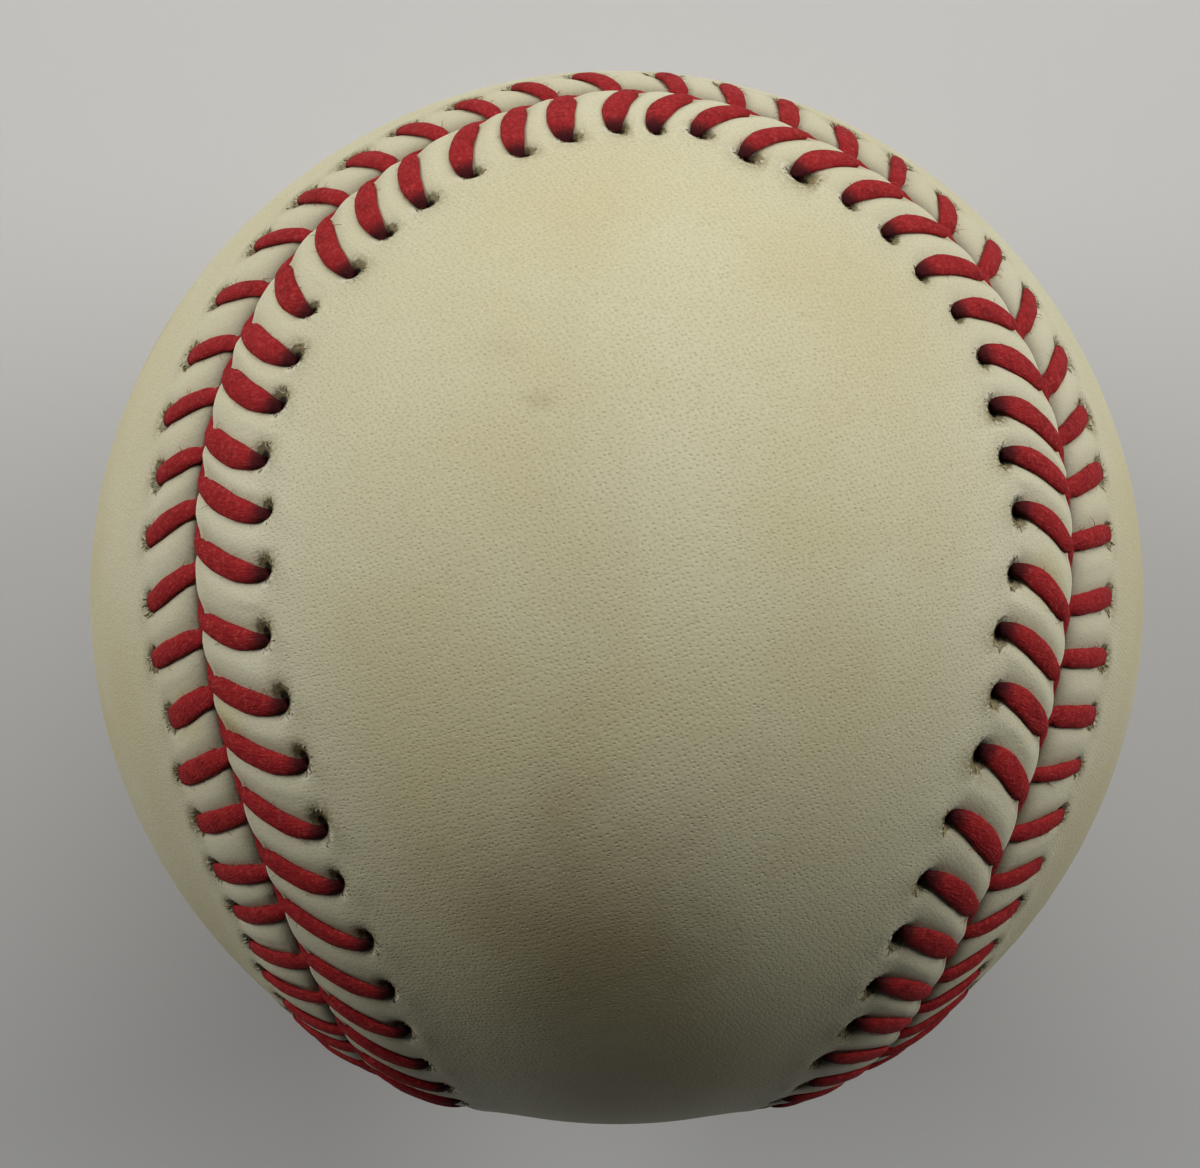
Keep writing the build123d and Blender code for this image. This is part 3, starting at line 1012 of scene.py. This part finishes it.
def thread_material():
    """Waxed red thread: fibres that follow the plies, uneven dye, soft fuzz partly painted as sheen, and
    near-black where it dives into a needle hole.
    """
    material, tree, shader = new_material("waxed_red_thread", roughness=0.8, specular=0.12)
    place = object_place(tree)
    strands = fibre_height(tree, flat_map(tree, "lay"), slant=0.35, scale=48.0, stretch=3.0)
    fuzz = noise(tree, place, 3400.0, roughness=0.65)
    patch = noise(tree, place, 750.0, roughness=0.6)
    red = mix_colour(tree, ramp(tree, strands, 0.3, 0.7), DEEP_RED, BRIGHT_RED)
    for mask, share, tint in (
        (mark_value(tree, "dye"), 0.35, DYED_RED),
        (ramp(tree, patch, 0.46, 0.72), 0.62, DULL_RED),
        # Paler fuzz specks, partly painted sheen
        (ramp(tree, fuzz, 0.48, 0.72), 0.50, PALE_FUZZ_AND_SHEEN),
        # Darker towards the needle hole, where the thread dives in
        (math_node(tree, "SUBTRACT", 1.0, mark_value(tree, "undarkened")), 0.9, THREAD_DARK_AT_HOLE),
    ):
        red = tint_over(tree, red, mask, share, tint)
    tree.links.new(red, shader.inputs["Base Color"])
    add_bump(tree, shader, math_node(tree, "MULTIPLY_ADD", fuzz, 0.7, strands), THREAD_FIBRE_DEPTH)
    return material


def fringe_material(name, dark, middle, pale):
    """Loose fibres: each one's shade falls between a dark, a middle and a pale tone, and drifts along it."""
    material, tree, shader = new_material(name, roughness=0.85, specular=0.1)
    drift = noise(tree, object_place(tree), 1800.0)
    shade = math_node(tree, "MULTIPLY_ADD", drift, 0.3, mark_value(tree, "shade"))
    tone = mix_colour(tree, ramp(tree, shade, 0.25, 0.7), dark, middle)
    tone = mix_colour(tree, ramp(tree, shade, 0.85, 1.05), tone, pale)
    tree.links.new(tone, shader.inputs["Base Color"])
    return material


def grained_material(name, main, drift, speck, blotch_scale, speck_scale, speck_share, depth, roughness):
    """A cork or moulded rubber finish: mottled colour with its specks raised."""
    material, tree, shader = new_material(name, roughness)
    blotched = mottled(tree, main, drift, speck, blotch_scale, speck_scale, speck_share)
    tree.links.new(blotched["Color"], shader.inputs["Base Color"])
    add_bump(tree, shader, blotched["Height"], depth)
    return material


# Wound yarn: patches to a metre, how a patch turns and about what, bands to a width, and a depth in metres
YARN_PATCHES = 70.0
PATCH_TURN = 6.3
PATCH_AXIS = (0.5, 0.6, 0.62)
BANDS_PER_WIDTH = 0.314
YARN_DEPTH = 0.0004


def yarn_material(name, shadow, light, yarn_width):
    """Wound yarn: bands of turns that lie in a different direction in each patch, with fibres along them."""
    material, tree, shader = new_material(name, roughness=0.85, specular=0.15)
    place = object_place(tree)
    patches = add_node(tree, "ShaderNodeTexVoronoi", {"Vector": place, "Scale": YARN_PATCHES})
    patch_share = add_node(tree, "ShaderNodeSeparateColor", {0: patches.outputs["Color"]}).outputs[0]
    angle = math_node(tree, "MULTIPLY", patch_share, PATCH_TURN)
    lie = {"Vector": place, "Axis": PATCH_AXIS, "Angle": angle}
    turned = add_node(tree, "ShaderNodeVectorRotate", lie).outputs[0]
    bands = {"Vector": turned, "Scale": BANDS_PER_WIDTH / yarn_width / MM, "Distortion": 1.5, "Detail": 2.0}
    turns = add_node(tree, "ShaderNodeTexWave", bands).outputs[1]
    strands = fibre_height(tree, turned, slant=0.5, scale=900.0, stretch=4.0)
    height = math_node(tree, "MULTIPLY_ADD", strands, 0.4, turns)
    tree.links.new(mix_colour(tree, ramp(tree, height, 0.2, 1.1), shadow, light), shader.inputs["Base Color"])
    add_bump(tree, shader, height, YARN_DEPTH)
    return material


# The floor: its size, its cloth, the dark and painted-glow tones that it runs into, and the distances in
# metres where it does
FLOOR_HALF = 1500.0
FLOOR_DROP = 0.05
CLOTH_SHADE = (0.66, 0.655, 0.64)
CLOTH_LIGHT = (0.73, 0.725, 0.71)
FAR_CLOTH = (0.02, 0.02, 0.02)
UNLIT = (0.0, 0.0, 0.0)
NEAR_SWEEP = (0.40, 0.398, 0.39)
BACKDROP = (0.676, 0.683, 0.69)
CLOTH_FADE = (0.22, 0.60)
SWEEP_FADE = (0.45, 1.40)


def floor_material():
    """Pale grey cloth with a soft drift of shade; away from the ball it turns dark and glows for the camera
    with painted light that runs into the backdrop's tone.
    """
    material, tree, shader = new_material("pale_floor", roughness=0.9, specular=0.1)
    place = object_place(tree)
    cloth = mix_colour(tree, noise(tree, place, 9.0), CLOTH_SHADE, CLOTH_LIGHT)
    away = vector_node(tree, "LENGTH", place).outputs["Value"]
    far = ramp(tree, away, *CLOTH_FADE)
    # Away from the ball the cloth goes dark and glows for the camera with painted light in place of lamplight
    sweep = mix_colour(tree, ramp(tree, away, *SWEEP_FADE), NEAR_SWEEP, BACKDROP)
    tree.links.new(mix_colour(tree, far, cloth, FAR_CLOTH), shader.inputs["Base Color"])
    tree.links.new(mix_colour(tree, far, UNLIT, sweep), shader.inputs["Emission Color"])
    seen = add_node(tree, "ShaderNodeLightPath").outputs["Is Camera Ray"]
    tree.links.new(seen, shader.inputs["Emission Strength"])
    return material


# The leather cover and its lacing
leather = leather_material()
thread = thread_material()
cover_panel("leather_panel_a", "cover_panel_a", lacing_a, leather)
cover_panel("leather_panel_b", "cover_panel_b", lacing_b, leather)
stitching_strand("lacing_strand_a", "stitching_strand_a", lacing_a, lacing_b, thread)
stitching_strand("lacing_strand_b", "stitching_strand_b", lacing_b, lacing_a, thread)

# Loose fibres at the needle holes and along the lacing
frayed_hide = fringe_material(
    "frayed_hide", dark=(0.12, 0.093, 0.038), middle=(0.29, 0.235, 0.115), pale=(0.66, 0.62, 0.47)
)
frayed_thread = fringe_material(
    "frayed_thread", dark=(0.18, 0.006, 0.008), middle=(0.30, 0.014, 0.016), pale=(0.40, 0.05, 0.05)
)
loose_fibres("hole_fringe", hole_fringe, frayed_hide)
loose_fibres("thread_fuzz", thread_fuzz, frayed_thread)

# Finishes of the layers inside the cover
black_rubber = grained_material(
    "black_rubber",
    main=(0.028, 0.028, 0.028),
    drift=(0.04, 0.039, 0.038),
    speck=(0.07, 0.068, 0.065),
    blotch_scale=90,
    speck_scale=1500,
    speck_share=0.4,
    depth=0.00005,
    roughness=0.7,
)
red_rubber = grained_material(
    "red_rubber",
    main=(0.40, 0.075, 0.055),
    drift=(0.33, 0.055, 0.045),
    speck=(0.50, 0.13, 0.10),
    blotch_scale=80,
    speck_scale=1400,
    speck_share=0.4,
    depth=0.00005,
    roughness=0.7,
)
cork = grained_material(
    "composition_cork",
    main=(0.50, 0.32, 0.17),
    drift=(0.38, 0.22, 0.11),
    speck=(0.16, 0.085, 0.04),
    blotch_scale=420,
    speck_scale=700,
    speck_share=0.8,
    depth=0.0003,
    roughness=0.85,
)
grey_wool = yarn_material("grey_wool", shadow=(0.17, 0.16, 0.15), light=(0.46, 0.44, 0.41), yarn_width=1.1)
white_wool = yarn_material("white_wool", shadow=(0.42, 0.39, 0.33), light=(0.82, 0.79, 0.71), yarn_width=0.9)
white_cotton = yarn_material(
    "white_cotton", shadow=(0.5, 0.48, 0.42), light=(0.86, 0.84, 0.78), yarn_width=0.45
)
for node, finish in (
    ("cork_core", cork),
    ("black_rubber_cup_upper", black_rubber),
    ("black_rubber_cup_lower", black_rubber),
    ("red_rubber_washer", red_rubber),
    ("red_rubber_layer", red_rubber),
    ("four_ply_wool_winding", grey_wool),
    ("white_wool_winding", white_wool),
    ("grey_wool_winding", grey_wool),
    ("cotton_winding", white_cotton),
):
    layer = frame["nodes"][node]
    layer.data.materials.clear()
    layer.data.materials.append(finish)

# Floor under the ball
corners = np.array([[-1, -1, 0], [1, -1, 0], [1, 1, 0], [-1, 1, 0]]) * FLOOR_HALF
corners = corners - [0, 0, COVER_RADIUS + FLOOR_DROP]
floor_mesh = bpy.data.meshes.new("floor")
floor_mesh.from_pydata((corners * MM).tolist(), [], [[0, 1, 2, 3]])
floor_mesh.materials.append(floor_material())
floor = bpy.data.objects.new("floor", floor_mesh)
bpy.context.scene.collection.objects.link(floor)

# Camera: its distance and way from the ball's centre, the picture's up, and the picture's shift in pixels
CAMERA_DISTANCE = 178.1508
TO_CAMERA = (-0.04820, 0.11480, 0.99222)
PICTURE_UP = (-0.01130, 0.99325, -0.11547)
IMAGE_WIDTH = 1200.0
FOCAL_PIXELS = 2468.0
SHIFT_RIGHT = -16.8
SHIFT_UP = 13.5
SENSOR_WIDTH = 36.0
CLIP_START = 5.0
back = Vector(TO_CAMERA).normalized()
right = Vector(PICTURE_UP).cross(back).normalized()
up = back.cross(right)
camera_data = bpy.data.cameras.new("camera")
camera_data.sensor_width = SENSOR_WIDTH
camera_data.lens = SENSOR_WIDTH * FOCAL_PIXELS / IMAGE_WIDTH
camera_data.shift_x = SHIFT_RIGHT / IMAGE_WIDTH
camera_data.shift_y = SHIFT_UP / IMAGE_WIDTH
camera_data.clip_start = CLIP_START * MM
camera = bpy.data.objects.new("camera", camera_data)
turned_to_ball = Matrix((right, up, back)).transposed().to_4x4()
camera.matrix_world = Matrix.Translation(back * CAMERA_DISTANCE * MM) @ turned_to_ball
bpy.context.scene.collection.objects.link(camera)
bpy.context.scene.camera = camera

# Lamps: their distance in metres, then each one's way from the ball, size in metres and brightness
LAMP_DISTANCE = 0.60


def soft_lamp(name, direction, size, level):
    """Square lamp that faces the ball. Its level is how bright a white surface at the ball would look."""
    data = bpy.data.lights.new(name, "AREA")
    data.shape = "SQUARE"
    data.size = size
    data.energy = level * math.pi**2 * LAMP_DISTANCE**2
    lamp = bpy.data.objects.new(name, data)
    towards = Vector(direction).normalized()
    lamp.location = towards * LAMP_DISTANCE
    lamp.rotation_mode = "QUATERNION"
    lamp.rotation_quaternion = towards.to_track_quat("Z", "Y")
    bpy.context.scene.collection.objects.link(lamp)


soft_lamp("window_lamp", (0.10, 0.85, 0.50), size=0.45, level=0.46)
soft_lamp("left_lamp", (-0.82, 0.46, 0.42), size=0.36, level=0.585)
soft_lamp("right_lamp", (0.82, 0.46, 0.42), size=0.36, level=0.565)

# Soft light from all round, with a pale background for the camera
ROOM_TONE = (0.98, 0.99, 1.0)
ROOM_LIGHT = 0.012
ROOM_SEEN = 0.668
world = bpy.data.worlds.new("room")
bpy.context.scene.world = world
world.use_nodes = True
world.node_tree.nodes.clear()
camera_ray = add_node(world.node_tree, "ShaderNodeLightPath").outputs["Is Camera Ray"]
glow = math_node(world.node_tree, "MULTIPLY_ADD", camera_ray, ROOM_SEEN, ROOM_LIGHT)
room = add_node(world.node_tree, "ShaderNodeBackground", {"Color": ROOM_TONE, "Strength": glow})
add_node(world.node_tree, "ShaderNodeOutputWorld", {0: room.outputs[0]})
bpy.context.scene.view_settings.view_transform = "Standard"
